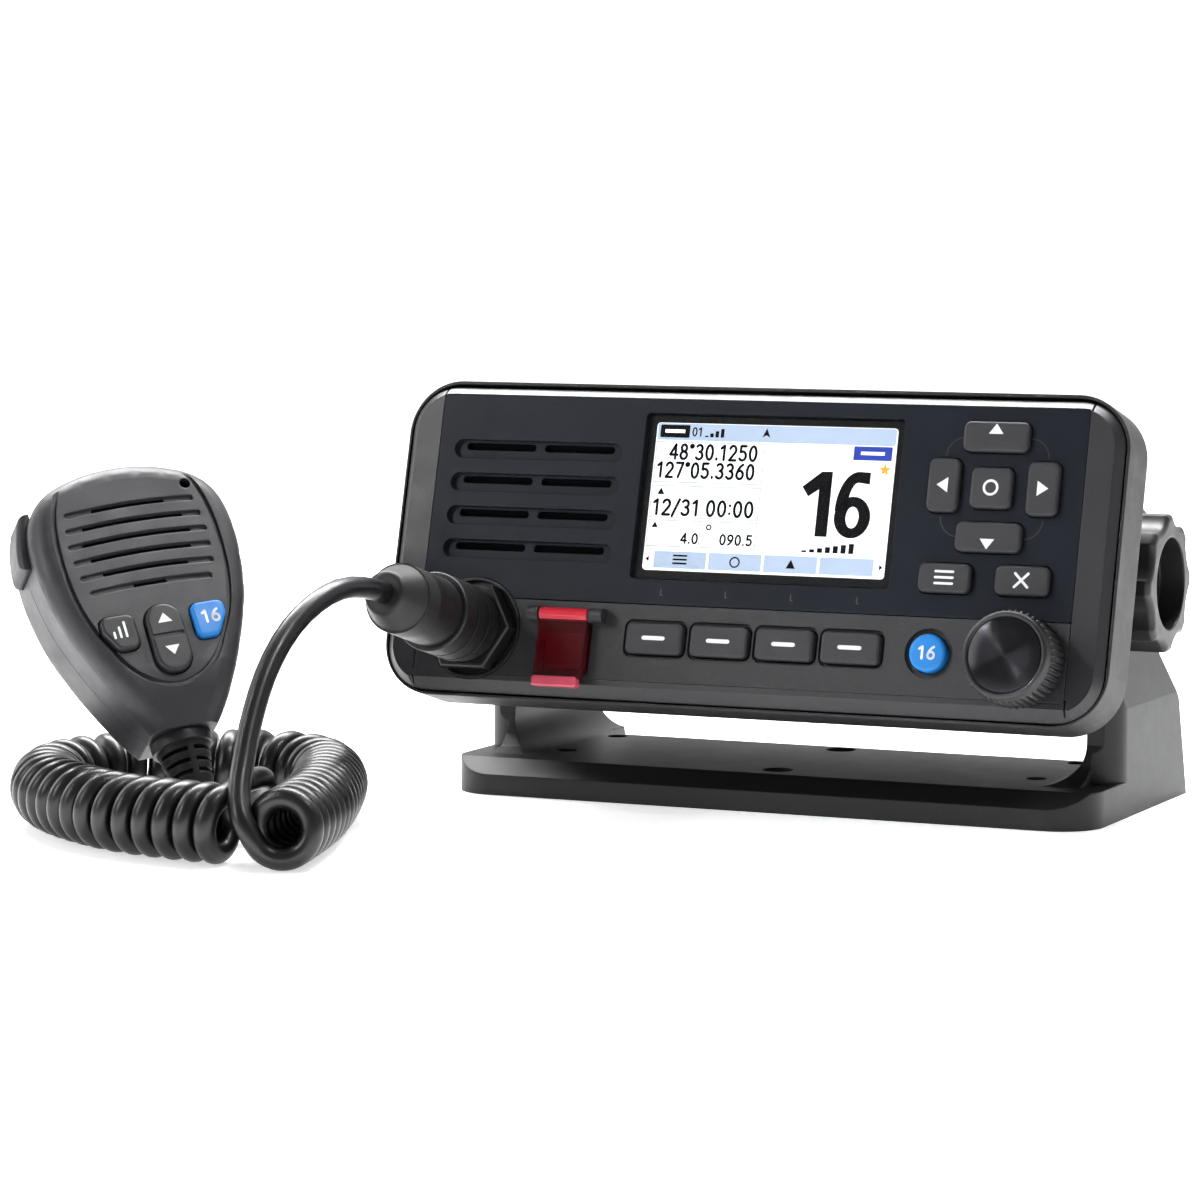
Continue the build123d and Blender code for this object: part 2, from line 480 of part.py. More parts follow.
front -= extrude(plate_edge(0.0), amount=14, dir=(0, -1, 0)) - extrude(plate_edge(1.15), amount=14, dir=(0, -1, 0)) - Pos(0, 0, 30) * Box(80, 23.9, 90)
MK = {"mic_key_power": -1, "mic_key_channel": 1}
for n, side in MK.items():
    front -= key_shape(side, 0.3, -15, -8)
front -= prism(-5.0, 5.0, -15, -8, 6.1, 25.1, 4.9)
front -= rod_y(16.0, 56.7, 1.4, -15, -8)
# side notch for the push-to-talk bar
NOTCH = Pos(-27.4, 0, 50.5) * Box(11.0, 12.4, 15.4)
front -= NOTCH
M["mic_front_shell"] = front
rear = mic_slab(0.0, 0.0, 13.5)
rear = soft(rear, 13.5, 4.5)
rear -= mic_slab(2.2, -0.5, 11.2)
rear -= NOTCH
rear -= rod_y(0, 40.0, 2.0, 10, 15)
MS = ((-14.5, 16.0), (14.5, 16.0), (-15.0, 52.0), (15.0, 52.0))
for a, b in MS:
    rear += rod_y(a, b, 3.0, 0.2, 12.0)
    rear -= rod_y(a, b, 2.6, 11.0, 15)
    rear -= rod_y(a, b, 1.3, -1, 12)
M["mic_rear_shell"] = rear
ms = None
for a, b in MS:
    t = rod_y(a, b, 2.4, 11.0, 12.6) + rod_y(a, b, 1.2, 1.0, 11.2)
    t -= prism(a - 1.8, a + 1.8, 12.0, 14, b - 0.3, b + 0.3)
    t -= prism(a - 0.3, a + 0.3, 12.0, 14, b - 1.8, b + 1.8)
    ms = t if ms is None else ms + t
M["mic_screws"] = ms
hb = rod_y(0, 40.0, 4.0, 13.5, 17.0) + rod_y(0, 40.0, 7.5, 17.0, 19.5) + rod_y(0, 40.0, 1.95, 11.3, 14)
hb = soft(hb, 19.5, 1.0)
M["mic_hanger_button"] = hb
for n, side in MK.items():
    k = key_shape(side, 0, -14.6, -10.0)
    k = soft(k, -14.6, 0.9)
    k += key_shape(side, 0.8, -10.1, -9.3)
    M[n] = k
rk = prism(-4.7, 4.7, -14.8, -9.4, 6.4, 24.8, 4.6)
rk = soft(rk, -14.8, 0.9)
rk += rod_x(-9.6, 15.6, 1.0, -5.6, 5.6)
rk -= prism(-4.0, 4.0, -16, -14.3, 15.6, 16.8)
M["mic_rocker"] = rk
# the bar follows the shell's side and stands proud of it
ptt = mic_slab(-2.5, -6.0, 6.0) & (Pos(-27.5, 0, 50.5) * Box(8.0, 12.0, 15.0))
edges = ptt.edges().filter_by(lambda e: e.bounding_box().max.X < -23.6)
for rr in (2.0, 1.4, 0.8):
    try:
        rounded = fillet(edges, rr)
        if rounded.is_valid:
            ptt = rounded
            break
    except Exception:
        pass
M["mic_ptt"] = ptt
M["mic_speaker"] = rod_y(0, 44.5, 15.0, -10.4, -6.5) + rod_y(0, 44.5, 8.0, -6.6, -3.0)
mbd = prism(-14.5, 14.5, -7.4, -6.2, 12.5, 28.0, 1.0)
M["mic_board"] = mbd
# strain relief: a collar in the shells, then a tapering ribbed tail
rel = Pos(0, 0, FOOT) * Cylinder(7.8, 3.0, align=(Align.CENTER, Align.CENTER, Align.MAX)) + Pos(0, 0, FOOT) * Cylinder(5.2, 2.2, align=(Align.CENTER, Align.CENTER, Align.MIN))
rel += Pos(0, 0, FOOT - 3.0) * Cone(4.6, 6.9, 11.0, align=(Align.CENTER, Align.CENTER, Align.MAX))
for z in (-11.0, -13.8, -16.6):
    ringcut = Pos(0, 0, z) * (Cylinder(8.0, 1.1) - Cylinder(4.0, 3.0))
    rel -= ringcut - Box(1.6, 20, 40) - Box(20, 1.6, 40)
M["mic_strain_relief"] = rel
# mouth for the collar in both shells
mouth = Pos(0, 0, FOOT) * Cylinder(5.25, 8.0)
M["mic_front_shell"] -= mouth
M["mic_rear_shell"] -= mouth
for n, s in M.items():
    add(n, MIC * s)
relief_end = MIC_O - MZ.normalized() * 20.0


# ---------------------------------------------------------------- cord
def route(points, label):
    pts = [Vector(*p) for p in points]
    runs = [(pts[i + 1] - pts[i]).length for i in range(len(pts) - 1)]
    radii = []
    for i in range(1, len(pts) - 1):
        turn = math.radians((pts[i] - pts[i - 1]).get_angle(pts[i + 1] - pts[i]))
        radii.append(0.45 * min(runs[i - 1], runs[i]) / math.tan(turn / 2))
    print(label, "runs", [round(x, 1) for x in runs])
    print(label, "radii", [round(x, 1) for x in radii])
    line = FilletPolyline(*pts, radius=radii)
    return line


def tube(line, d):
    start = Plane(origin=line @ 0, z_dir=line % 0)
    return sweep(start * Circle(d / 2), path=line)


def unit_pt(x, y, z):
    v = (FACE * Pos(x, y, z)).position
    return (v.X, v.Y, v.Z)


E0 = unit_pt(SOCK_U, -52.0, SOCK_V)
E1 = unit_pt(SOCK_U, -61.0, SOCK_V)
TAIL = [E0, E1, (-75.3, -128.5, 62.3), (-77.8, -144.0, 56.0), (-79.0, -156.0, 45.5), (-78.5, -165.0, 33.5),
        (-76.4, -173.0, 21.5), (-72.6, -180.5, 10.5)]
COIL = [(-62.6, -180.9), (-69.5, -153.0), (-83.0, -119.0), (-97.5, -89.0), (-116.0, -78.5), (-138.5, -89.0),
        (-155.5, -104.0), (-159.5, -124.0), (-148.0, -145.0), (-127.0, -161.5), (-104.0, -172.3), (-79.0, -174.8)]
tail_line = route(TAIL, "tail")
coil_line = route([(x, y, COIL_Z) for x, y in COIL], "coil")
tail = tube(tail_line, CORD_D)
coil = tube(coil_line, COIL_D)
RE = (relief_end.X, relief_end.Y, relief_end.Z)
RD = -MZ.normalized()
p1 = relief_end + RD * 9.5
MIC_END = [RE, (p1.X, p1.Y, p1.Z), (-95.5, -140.5, 4.8), (-88.0, -144.0, 10.0), (-83.2, -150.5, 15.5), (-80.8, -159.0, 17.5), (-82.0, -167.0, 15.5),
           (-89.0, -173.5, 12.0)]
mic_line = route(MIC_END, "mic end")
mic_tube = tube(mic_line, CORD_D)
add("cord_tail", tail)
add("cord_coil", coil)
add("cord_mic_end", mic_tube)
sect = math.pi * CORD_D ** 2 / 4
for n, ln, s, a in (("tail", tail_line, tail, sect), ("mic end", mic_line, mic_tube, sect), ("coil", coil_line, coil, math.pi * COIL_D ** 2 / 4)):
    print(n, "length", round(ln.length, 1), "volume", round(s.volume, 1), "section x length", round(a * ln.length, 1))

# ---------------------------------------------------------------- export
for n, s in sorted(NODES.items()):
    if isinstance(s, (list, ShapeList)):
        s = Compound(children=list(s))
    export_step(s, "parts/%s.step" % n)
print(len(NODES), "nodes")
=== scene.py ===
import json
import math

import bmesh
import bpy
import numpy as np
from mathutils import Matrix, Vector

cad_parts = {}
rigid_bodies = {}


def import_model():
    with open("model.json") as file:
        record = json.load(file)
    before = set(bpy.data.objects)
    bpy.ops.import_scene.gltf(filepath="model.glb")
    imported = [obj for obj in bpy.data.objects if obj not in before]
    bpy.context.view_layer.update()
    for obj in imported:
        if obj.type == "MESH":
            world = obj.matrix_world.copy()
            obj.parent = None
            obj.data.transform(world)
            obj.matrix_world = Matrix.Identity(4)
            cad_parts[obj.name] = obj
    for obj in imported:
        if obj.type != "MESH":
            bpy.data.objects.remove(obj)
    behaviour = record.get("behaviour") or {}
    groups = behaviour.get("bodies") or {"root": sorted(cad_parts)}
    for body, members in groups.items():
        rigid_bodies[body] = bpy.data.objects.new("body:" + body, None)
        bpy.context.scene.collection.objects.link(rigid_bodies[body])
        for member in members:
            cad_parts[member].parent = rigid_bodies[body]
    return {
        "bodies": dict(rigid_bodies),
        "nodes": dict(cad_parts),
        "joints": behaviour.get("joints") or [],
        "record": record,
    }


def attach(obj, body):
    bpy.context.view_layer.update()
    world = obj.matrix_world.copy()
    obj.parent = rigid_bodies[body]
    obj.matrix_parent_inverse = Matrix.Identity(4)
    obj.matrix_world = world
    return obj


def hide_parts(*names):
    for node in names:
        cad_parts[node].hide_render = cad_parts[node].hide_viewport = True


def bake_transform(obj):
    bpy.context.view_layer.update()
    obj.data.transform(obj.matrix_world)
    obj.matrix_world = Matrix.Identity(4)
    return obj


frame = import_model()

N = frame["nodes"]
COL = bpy.context.scene.collection
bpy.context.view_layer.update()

# ------------------------------------------------------------------ camera
AZ, EL, ROLL = math.radians(24.79), math.radians(5.51), math.radians(0.03)
BACK = Vector((math.sin(AZ) * math.cos(EL), -math.cos(AZ) * math.cos(EL), math.sin(EL)))
cam_data = bpy.data.cameras.new("camera")
cam = bpy.data.objects.new("camera", cam_data)
COL.objects.link(cam)
right = (-BACK).cross(Vector((0, 0, 1))).normalized()
up = right.cross(-BACK)
r_ax = right * math.cos(ROLL) + up * math.sin(ROLL)
u_ax = up * math.cos(ROLL) - right * math.sin(ROLL)
m = Matrix((r_ax, u_ax, BACK)).transposed().to_4x4()
m.translation = Vector((-0.064075, 0, 0.048774)) + BACK * 1.193841
cam.matrix_world = m
cam_data.sensor_width = 36.0
cam_data.lens = 4421.73 / 1200 * 36.0
cam_data.shift_x = (600 - 596.49) / 1200
cam_data.shift_y = (599.39 - 600) / 1200
cam_data.clip_start, cam_data.clip_end = 0.05, 50
bpy.context.scene.camera = cam

# ------------------------------------------------------------------ frames
TILT = math.radians(15.06)
UNIT = Matrix.Translation((0, -0.04951, 0.07319)) @ Matrix.Rotation(-TILT, 4, "X") @ Matrix.Scale(0.001, 4)


def unit(u, y, v):
    """A point of the transceiver's own frame, in millimetres, in the row frame."""
    return UNIT @ Vector((u, y, v))


MIC_X = Vector((0.6545, 0.7467, 0.1187)).normalized()
MIC_Z = Vector((-0.4488, 0.2574, 0.8557)).normalized()
MIC_X = (MIC_X - MIC_Z * MIC_X.dot(MIC_Z)).normalized()
MIC_Y = MIC_Z.cross(MIC_X)
MIC_O = Vector((-118.87, -132.01, 28.63))
_m = Matrix((MIC_X, MIC_Y, MIC_Z)).transposed().to_4x4()
_m.translation = MIC_O
MIC = Matrix.Scale(0.001, 4) @ _m


# ------------------------------------------------------------------ cord
def read_nurbs(points, resolution):
    """Points, in order, of the order 3 NURBS line whose control points these are."""
    cu = bpy.data.curves.new("route", "CURVE")
    cu.dimensions = "3D"
    sp = cu.splines.new("NURBS")
    sp.points.add(len(points) - 1)
    for p, co in zip(sp.points, points):
        p.co = (co[0], co[1], co[2], 1.0)
    sp.order_u = 3
    sp.use_endpoint_u = True
    cu.resolution_u = resolution
    ob = bpy.data.objects.new("route", cu)
    COL.objects.link(ob)
    me = bpy.data.meshes.new_from_object(ob)
    pts = np.array([v.co[:] for v in me.vertices], float)
    bpy.data.objects.remove(ob)
    bpy.data.curves.remove(cu)
    bpy.data.meshes.remove(me)
    keep = [0]
    for i in range(1, len(pts)):
        if np.linalg.norm(pts[i] - pts[keep[-1]]) > 1e-6:
            keep.append(i)
    return pts[keep]


CORD_D = 0.0055
WIRE_R = 0.00715
COIL = [(-0.0626, -0.1809), (-0.0695, -0.153), (-0.083, -0.119), (-0.0975, -0.089), (-0.116, -0.0785), (-0.1385, -0.089),
        (-0.1555, -0.104), (-0.1595, -0.124), (-0.148, -0.145), (-0.127, -0.1615), (-0.104, -0.1723), (-0.079, -0.1748)]
COIL_Z = 0.00995
E0 = unit(-73.0, -52.0, -28.2)
E1 = unit(-73.0, -61.0, -28.2)
TAIL = [E0, E1, (-0.0753, -0.1285, 0.0623), (-0.0778, -0.144, 0.056), (-0.079, -0.156, 0.0455),
        (-0.0785, -0.165, 0.0335), (-0.0772, -0.171, 0.0245), (-0.0756, -0.1765, 0.0175), (-0.0729, -0.1802, 0.0125)]
RELIEF_END = (MIC_O - MIC_Z * 20.0) * 0.001
MIC_END = [(-0.0805, -0.167, 0.0185), (-0.0808, -0.158, 0.019), (-0.0835, -0.149, 0.0175), (-0.0885, -0.1425, 0.013),
           (-0.096, -0.1395, 0.0075), (-0.1053, -0.1398, 0.0043), RELIEF_END]


def helix(line):
    """Turns of the curly cord about its centre line, 16 points a turn. The turns fan out on the outside of a bend."""
    seg = np.linalg.norm(np.diff(line, axis=0), axis=1)
    s = np.concatenate([[0], np.cumsum(seg)])
    tan = np.gradient(line, s, axis=0)
    tan /= np.linalg.norm(tan, axis=1)[:, None]
    turn = np.gradient(np.unwrap(np.arctan2(tan[:, 1], tan[:, 0])), s)
    k = np.ones(9) / 9
    turn = np.convolve(np.pad(turn, 4, mode="edge"), k, mode="valid")
    first, step = math.radians(20), 2 * math.pi / 16
    rng = np.random.default_rng(7)
    wob = rng.normal(0, 1, 400)

    def pitch_at(a, n):
        bend = abs(float(np.interp(a, s, turn)))
        radius = 1.0 / max(bend, 1e-3)
        return max(0.00602, 0.00572 * radius / max(radius - WIRE_R, 0.006)) + 0.00008 * wob[(n // 16) % 400]

    # the pitch is stretched a little so that the last turn ends on top, right at the end of the line
    end, at, n = s[-1] - 0.0006, 0.00275, 0
    while at < end:
        at += pitch_at(at, n) / 16
        n += 1
    whole = math.floor((n * step + first - math.radians(270)) / (2 * math.pi))
    count = int(round((2 * math.pi * whole + math.radians(270) - first) / step))
    stretch = n / count
    out, at, phi = [], 0.00275, first
    for n in range(count + 1):
        a = min(at, s[-1])
        c = np.array([np.interp(a, s, line[:, i]) for i in range(3)])
        t = np.array([np.interp(a, s, tan[:, i]) for i in range(3)])
        t /= np.linalg.norm(t)
        side = np.array([-t[1], t[0], 0.0])
        out.append(c + WIRE_R * (math.cos(phi) * side - math.sin(phi) * np.array([0, 0, 1.0])))
        at += stretch * pitch_at(a, n) / 16
        phi += step
    return out


coil_line = read_nurbs([(x, y, COIL_Z) for x, y in COIL], 32)
turns = helix(coil_line)
route = [tuple(p) for p in TAIL] + [tuple(p) for p in turns] + [tuple(p) for p in MIC_END]
cord_line = read_nurbs(route, 3)


def tube(name, line, radius, sides=16, radii=None):
    """A closed mesh tube along a line of points, with frames carried along it."""
    n = len(line)
    tan = np.gradient(line, axis=0)
    tan /= np.linalg.norm(tan, axis=1)[:, None]
    ref = np.array([1.0, 0, 0]) if abs(tan[0][0]) < 0.9 else np.array([0, 1.0, 0])
    nor = np.cross(tan[0], ref)
    nor /= np.linalg.norm(nor)
    verts = []
    for i in range(n):
        if i:
            nor = nor - tan[i] * nor.dot(tan[i])
            nor /= np.linalg.norm(nor)
        bi = np.cross(tan[i], nor)
        rr = radius if radii is None else radii[i]
        for k in range(sides):
            a = 2 * math.pi * k / sides
            verts.append(line[i] + rr * (math.cos(a) * nor + math.sin(a) * bi))
    faces = []
    for i in range(n - 1):
        for k in range(sides):
            k2 = (k + 1) % sides
            faces.append((i * sides + k, i * sides + k2, (i + 1) * sides + k2, (i + 1) * sides + k))
    faces.append(tuple(range(sides - 1, -1, -1)))
    faces.append(tuple((n - 1) * sides + k for k in range(sides)))
    me = bpy.data.meshes.new(name)
    me.from_pydata([tuple(v) for v in verts], [], faces)
    me.polygons.foreach_set("use_smooth", [True] * (len(faces) - 2) + [False] * 2)
    ob = bpy.data.objects.new(name, me)
    COL.objects.link(ob)
    return ob


curly = tube("curly_cord", cord_line, CORD_D / 2, 18)
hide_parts("cord_tail", "cord_coil", "cord_mic_end")
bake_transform(curly)


# ------------------------------------------------------------------ materials
def socket(node, name, value):
    node.inputs[name].default_value = value


def material(name, color, rough=0.5, metal=0.0, spec=0.5, grain=0.0, grain_size=0.4, grain_depth=0.02, mottle=0.08,
             rough_var=0.06, wear=0.0, wear_color=None, coat=0.0, coat_rough=0.1, emit=0.0, alpha=1.0, trans=0.0,
             sheen=0.0, ior=1.5, soft=0.0, aniso=0.0):
    """A procedural finish: fine moulded grain, slow mottling of colour and gloss, and rubbed edges. Sizes are in millimetres."""
    mt = bpy.data.materials.new(name)
    mt.use_nodes = True
    nt = mt.node_tree
    nt.nodes.clear()
    out = nt.nodes.new("ShaderNodeOutputMaterial")
    b = nt.nodes.new("ShaderNodeBsdfPrincipled")
    nt.links.new(b.outputs[0], out.inputs[0])
    socket(b, "Metallic", metal)
    socket(b, "Specular IOR Level", spec)
    socket(b, "IOR", ior)
    socket(b, "Coat Weight", coat)
    socket(b, "Coat Roughness", coat_rough)
    socket(b, "Alpha", alpha)
    socket(b, "Transmission Weight", trans)
    socket(b, "Sheen Weight", sheen)
    co = nt.nodes.new("ShaderNodeTexCoord")

    def noise(size, detail=3.0, rough_=0.55):
        t = nt.nodes.new("ShaderNodeTexNoise")
        socket(t, "Scale", 1000.0 / size)
        socket(t, "Detail", detail)
        socket(t, "Roughness", rough_)
        nt.links.new(co.outputs["Object"], t.inputs["Vector"])
        return t

    def ranged(src, lo, hi, a=0.3, z=0.7):
        mr = nt.nodes.new("ShaderNodeMapRange")
        socket(mr, "From Min", a)
        socket(mr, "From Max", z)
        socket(mr, "To Min", lo)
        socket(mr, "To Max", hi)
        nt.links.new(src, mr.inputs["Value"])
        return mr.outputs["Result"]

    slow = noise(18.0)
    col = nt.nodes.new("ShaderNodeMix")
    col.data_type = "RGBA"
    c = Vector(color[:3])
    col.inputs["A"].default_value = (*(c * (1 - mottle)), 1)
    col.inputs["B"].default_value = (*(c * (1 + mottle)), 1)
    nt.links.new(slow.outputs["Fac"], col.inputs["Factor"])
    base = col.outputs["Result"]
    fine = noise(grain_size, 2.0, 0.5) if grain > 0 else None
    if fine:
        sp = nt.nodes.new("ShaderNodeMix")
        sp.data_type = "RGBA"
        sp.blend_type = "MULTIPLY"
        ramp = ranged(fine.outputs["Fac"], 0.82, 1.18)
        cc = nt.nodes.new("ShaderNodeCombineColor")
        for k in range(3):
            nt.links.new(ramp, cc.inputs[k])
        socket(sp, "Factor", min(1.0, grain))
        nt.links.new(base, sp.inputs["A"])
        nt.links.new(cc.outputs[0], sp.inputs["B"])
        base = sp.outputs["Result"]
    if wear > 0:
        bev = nt.nodes.new("ShaderNodeBevel")
        bev.samples = 4
        socket(bev, "Radius", 0.0006)
        geo = nt.nodes.new("ShaderNodeNewGeometry")
        dot = nt.nodes.new("ShaderNodeVectorMath")
        dot.operation = "DOT_PRODUCT"
        nt.links.new(bev.outputs[0], dot.inputs[0])
        nt.links.new(geo.outputs["Normal"], dot.inputs[1])
        edge = ranged(dot.outputs["Value"], wear, 0.0, 0.90, 0.995)
        rub = noise(2.2, 4.0, 0.65)
        mul = nt.nodes.new("ShaderNodeMath")
        mul.operation = "MULTIPLY"
        nt.links.new(edge, mul.inputs[0])
        nt.links.new(ranged(rub.outputs["Fac"], 0.1, 1.0, 0.35, 0.65), mul.inputs[1])
        wm = nt.nodes.new("ShaderNodeMix")
        wm.data_type = "RGBA"
        nt.links.new(mul.outputs[0], wm.inputs["Factor"])
        nt.links.new(base, wm.inputs["A"])
        wc = wear_color or tuple(min(1.0, x * 2.4 + 0.03) for x in color[:3])
        wm.inputs["B"].default_value = (*wc[:3], 1)
        base = wm.outputs["Result"]
    nt.links.new(base, b.inputs["Base Color"])
    mid = noise(6.0, 4.0, 0.6)
    nt.links.new(ranged(mid.outputs["Fac"], max(0.02, rough - rough_var), min(1.0, rough + rough_var)), b.inputs["Roughness"])
    if emit > 0:
        nt.links.new(base, b.inputs["Emission Color"])
        socket(b, "Emission Strength", emit)
    edge_n = None
    if soft > 0:
        edge_n = nt.nodes.new("ShaderNodeBevel")
        edge_n.samples = 6
        socket(edge_n, "Radius", soft * 0.001)
        nt.links.new(edge_n.outputs[0], b.inputs["Normal"])
    if fine:
        bump = nt.nodes.new("ShaderNodeBump")
        socket(bump, "Strength", grain)
        socket(bump, "Distance", grain_depth * 0.001)
        nt.links.new(fine.outputs["Fac"], bump.inputs["Height"])
        if edge_n:
            nt.links.new(edge_n.outputs[0], bump.inputs["Normal"])
        nt.links.new(bump.outputs[0], b.inputs["Normal"])
    if aniso > 0:
        socket(b, "Anisotropic", aniso)
        socket(b, "Anisotropic Rotation", 0.25)
        tg = nt.nodes.new("ShaderNodeTangent")
        tg.direction_type = "RADIAL"
        tg.axis = "Z"
        nt.links.new(tg.outputs[0], b.inputs["Tangent"])
    return mt


MT = {
    "bracket": material("bracket_satin", (0.010, 0.010, 0.0105), 0.46, spec=0.38, grain=0.30, grain_size=0.5, grain_depth=0.02, soft=0.5, mottle=0.04, rough_var=0.02),
    "frame": material("frame_grain", (0.016, 0.016, 0.018), 0.36, spec=0.58, grain=0.7, grain_size=0.45, grain_depth=0.06, wear=0.15, mottle=0.05, soft=0.25),
    "case": material("case_grain", (0.012, 0.012, 0.013), 0.50, spec=0.45, grain=0.5, grain_size=0.5, grain_depth=0.04, wear=0.10, soft=0.3),
    "seal": material("seal_rubber", (0.003, 0.003, 0.0033), 0.8, spec=0.2, grain=0.3, grain_size=0.6, sheen=0.05),
    "panel": material("panel_navy", (0.0075, 0.0095, 0.0150), 0.38, spec=0.16, grain=0.10, grain_size=0.3, grain_depth=0.008, mottle=0.04, soft=0.3, wear=0.10),
    "lower": material("panel_grain", (0.014, 0.014, 0.0157), 0.50, spec=0.5, grain=0.9, grain_size=0.42, grain_depth=0.08, wear=0.08, soft=0.25),
    "lens": material("lens_clear", (0.012, 0.013, 0.015), 0.05, alpha=0.10, mottle=0.0, rough_var=0.02, spec=0.4),
    "lcd": material("lcd_bezel", (0.002, 0.0021, 0.0024), 0.45, spec=0.25, grain=0.1, grain_size=0.6),
    "key": material("key_rubber", (0.025, 0.025, 0.028), 0.50, spec=0.38, grain=0.35, grain_size=0.35, grain_depth=0.02, wear=0.30, soft=0.3),
    "blue": material("key_blue", (0.010, 0.19, 0.56), 0.38, spec=0.4, grain=0.15, grain_size=0.4, wear=0.25, mottle=0.03, soft=0.25),
    "red": material("key_red", (0.60, 0.008, 0.022), 0.32, grain=0.15, grain_size=0.4, mottle=0.05),
    "guard": material("guard_red", (0.060, 0.0008, 0.003), 0.12, alpha=0.62, mottle=0.10, rough_var=0.04, coat=0.1),
    "guard_hinge": material("guard_hinge_red", (0.62, 0.010, 0.030), 0.16, alpha=0.94, mottle=0.08, rough_var=0.05, coat=0.6, soft=0.2),
    "guard_tab": material("guard_tab_red", (0.60, 0.07, 0.12), 0.16, alpha=0.95, mottle=0.10, rough_var=0.05, coat=0.6),
    "knob": material("knob_black", (0.010, 0.010, 0.011), 0.40, spec=0.5, grain=0.25, grain_size=0.4, wear=0.20, soft=0.2),
    "spun": material("dial_spun", (0.042, 0.042, 0.047), 0.25, metal=1.0, grain=0.05, grain_size=0.2, grain_depth=0.004, mottle=0.03, rough_var=0.02, aniso=0.92),
    "clamp": material("clamp_black", (0.010, 0.010, 0.0105), 0.40, spec=0.45, grain=0.35, grain_size=0.5, wear=0.15, soft=0.8),
    "steel": material("steel_satin", (0.34, 0.35, 0.37), 0.32, metal=1.0, grain=0.2, grain_size=0.25, grain_depth=0.01, soft=0.15),
    "brass": material("brass_turned", (0.68, 0.47, 0.18), 0.28, metal=1.0, grain=0.2, grain_size=0.25, grain_depth=0.01, soft=0.15),
    "alloy": material("alloy_black", (0.014, 0.014, 0.0155), 0.42, grain=0.5, grain_size=0.35, grain_depth=0.03, wear=0.4, wear_color=(0.16, 0.16, 0.17), soft=0.25),
    "plated": material("socket_plated", (0.36, 0.37, 0.39), 0.30, metal=1.0, grain=0.15, grain_size=0.3, grain_depth=0.01, soft=0.2),
    "gland": material("gland_rubber", (0.008, 0.008, 0.009), 0.62, grain=0.3, grain_size=0.5, sheen=0.05, soft=0.3),
    "board": material("board_green", (0.012, 0.11, 0.04), 0.35, grain=0.2, grain_size=1.5, mottle=0.2),
    "switch": material("switch_black", (0.012, 0.012, 0.012), 0.5, grain=0.3, grain_size=0.4),
    "cone": material("speaker_cone", (0.006, 0.006, 0.0065), 0.85, spec=0.2, grain=0.5, grain_size=0.4),
    "cloth": material("speaker_cloth", (0.002, 0.002, 0.0022), 0.95, spec=0.1, grain=0.9, grain_size=0.6, grain_depth=0.15),
    "plug": material("plug_black", (0.0055, 0.0055, 0.006), 0.42, spec=0.40, grain=0.35, grain_size=0.4, grain_depth=0.025, wear=0.15, soft=0.3),
    "boot": material("boot_rubber", (0.006, 0.006, 0.0068), 0.48, spec=0.40, grain=0.3, grain_size=0.6, grain_depth=0.03, sheen=0.03, soft=0.4),
    "cord": material("cord_jacket", (0.0022, 0.0022, 0.0031), 0.34, spec=0.50, grain=0.2, grain_size=0.8, grain_depth=0.02, mottle=0.10, rough_var=0.05),
    "mic": material("mic_grain", (0.022, 0.022, 0.025), 0.47, spec=0.55, grain=0.7, grain_size=0.45, grain_depth=0.05, wear=0.10, mottle=0.05, soft=0.45),
    "mickey": material("mic_rubber", (0.016, 0.016, 0.018), 0.46, spec=0.45, grain=0.4, grain_size=0.4, grain_depth=0.03, wear=0.15, soft=0.35),
    "white": material("mark_white", (0.82, 0.83, 0.84), 0.5, grain=0.1, grain_size=0.3, mottle=0.02),
    "line": material("mark_grey", (0.040, 0.043, 0.050), 0.35, grain=0.1, grain_size=0.3, mottle=0.03),
    "arc": material("mark_dim", (0.016, 0.018, 0.023), 0.35, grain=0.1, grain_size=0.3, mottle=0.03),
    "lit": material("screen_white", (0.97, 0.985, 1.0), 0.5, emit=0.95, mottle=0.004, spec=0.2, grain=0.02, grain_size=0.25),
    "lit_blue": material("screen_pale_blue", (0.54, 0.67, 0.86), 0.5, emit=0.27, mottle=0.01, spec=0.2, grain=0.02, grain_size=0.25),
    "lit_grey": material("screen_grey", (0.40, 0.42, 0.44), 0.5, emit=0.35, mottle=0.01, spec=0.2, grain=0.02, grain_size=0.25),
    "lit_badge": material("screen_badge_blue", (0.02, 0.045, 0.33), 0.5, emit=0.8, mottle=0.02, spec=0.2, grain=0.02, grain_size=0.25),
    "lit_gold": material("screen_gold", (0.72, 0.34, 0.02), 0.5, emit=0.8, mottle=0.03, spec=0.2, grain=0.02, grain_size=0.25),
    "ink": material("screen_ink", (0.004, 0.004, 0.005), 0.6, mottle=0.05, spec=0.1, grain=0.02, grain_size=0.25),
}


def paint(key, *names):
    for n in names:
        o = N[n] if isinstance(n, str) else n
        o.data.materials.clear()
        o.data.materials.append(MT[key])
        for p in o.data.polygons:
            p.material_index = 0


paint("bracket", "mounting_bracket")
paint("frame", "front_frame")
paint("case", "rear_case")
paint("seal", "front_seal", "clamp_washers", "key_mat")
paint("panel", "display_panel")
paint("lower", "lower_panel")
paint("lcd", "lcd_module")
paint("key", "key_up", "key_down", "key_left", "key_right", "key_enter", "key_menu", "key_clear", "soft_key_1", "soft_key_2", "soft_key_3", "soft_key_4")
paint("blue", "key_channel", "mic_key_channel")
paint("red", "distress_key")
paint("steel", "dial_shaft", "lid_pin", "cover_screws", "mic_screws")
paint("brass", "clamp_inserts")
paint("alloy", "rear_cover")
paint("plated", "antenna_socket")
paint("gland", "cable_glands")
paint("clamp", "clamp_knob_left", "clamp_knob_right")
paint("board", "front_board", "main_board", "mic_board")
paint("switch", "encoder_body", "alarm_switch")
paint("cone", "speaker", "mic_speaker")
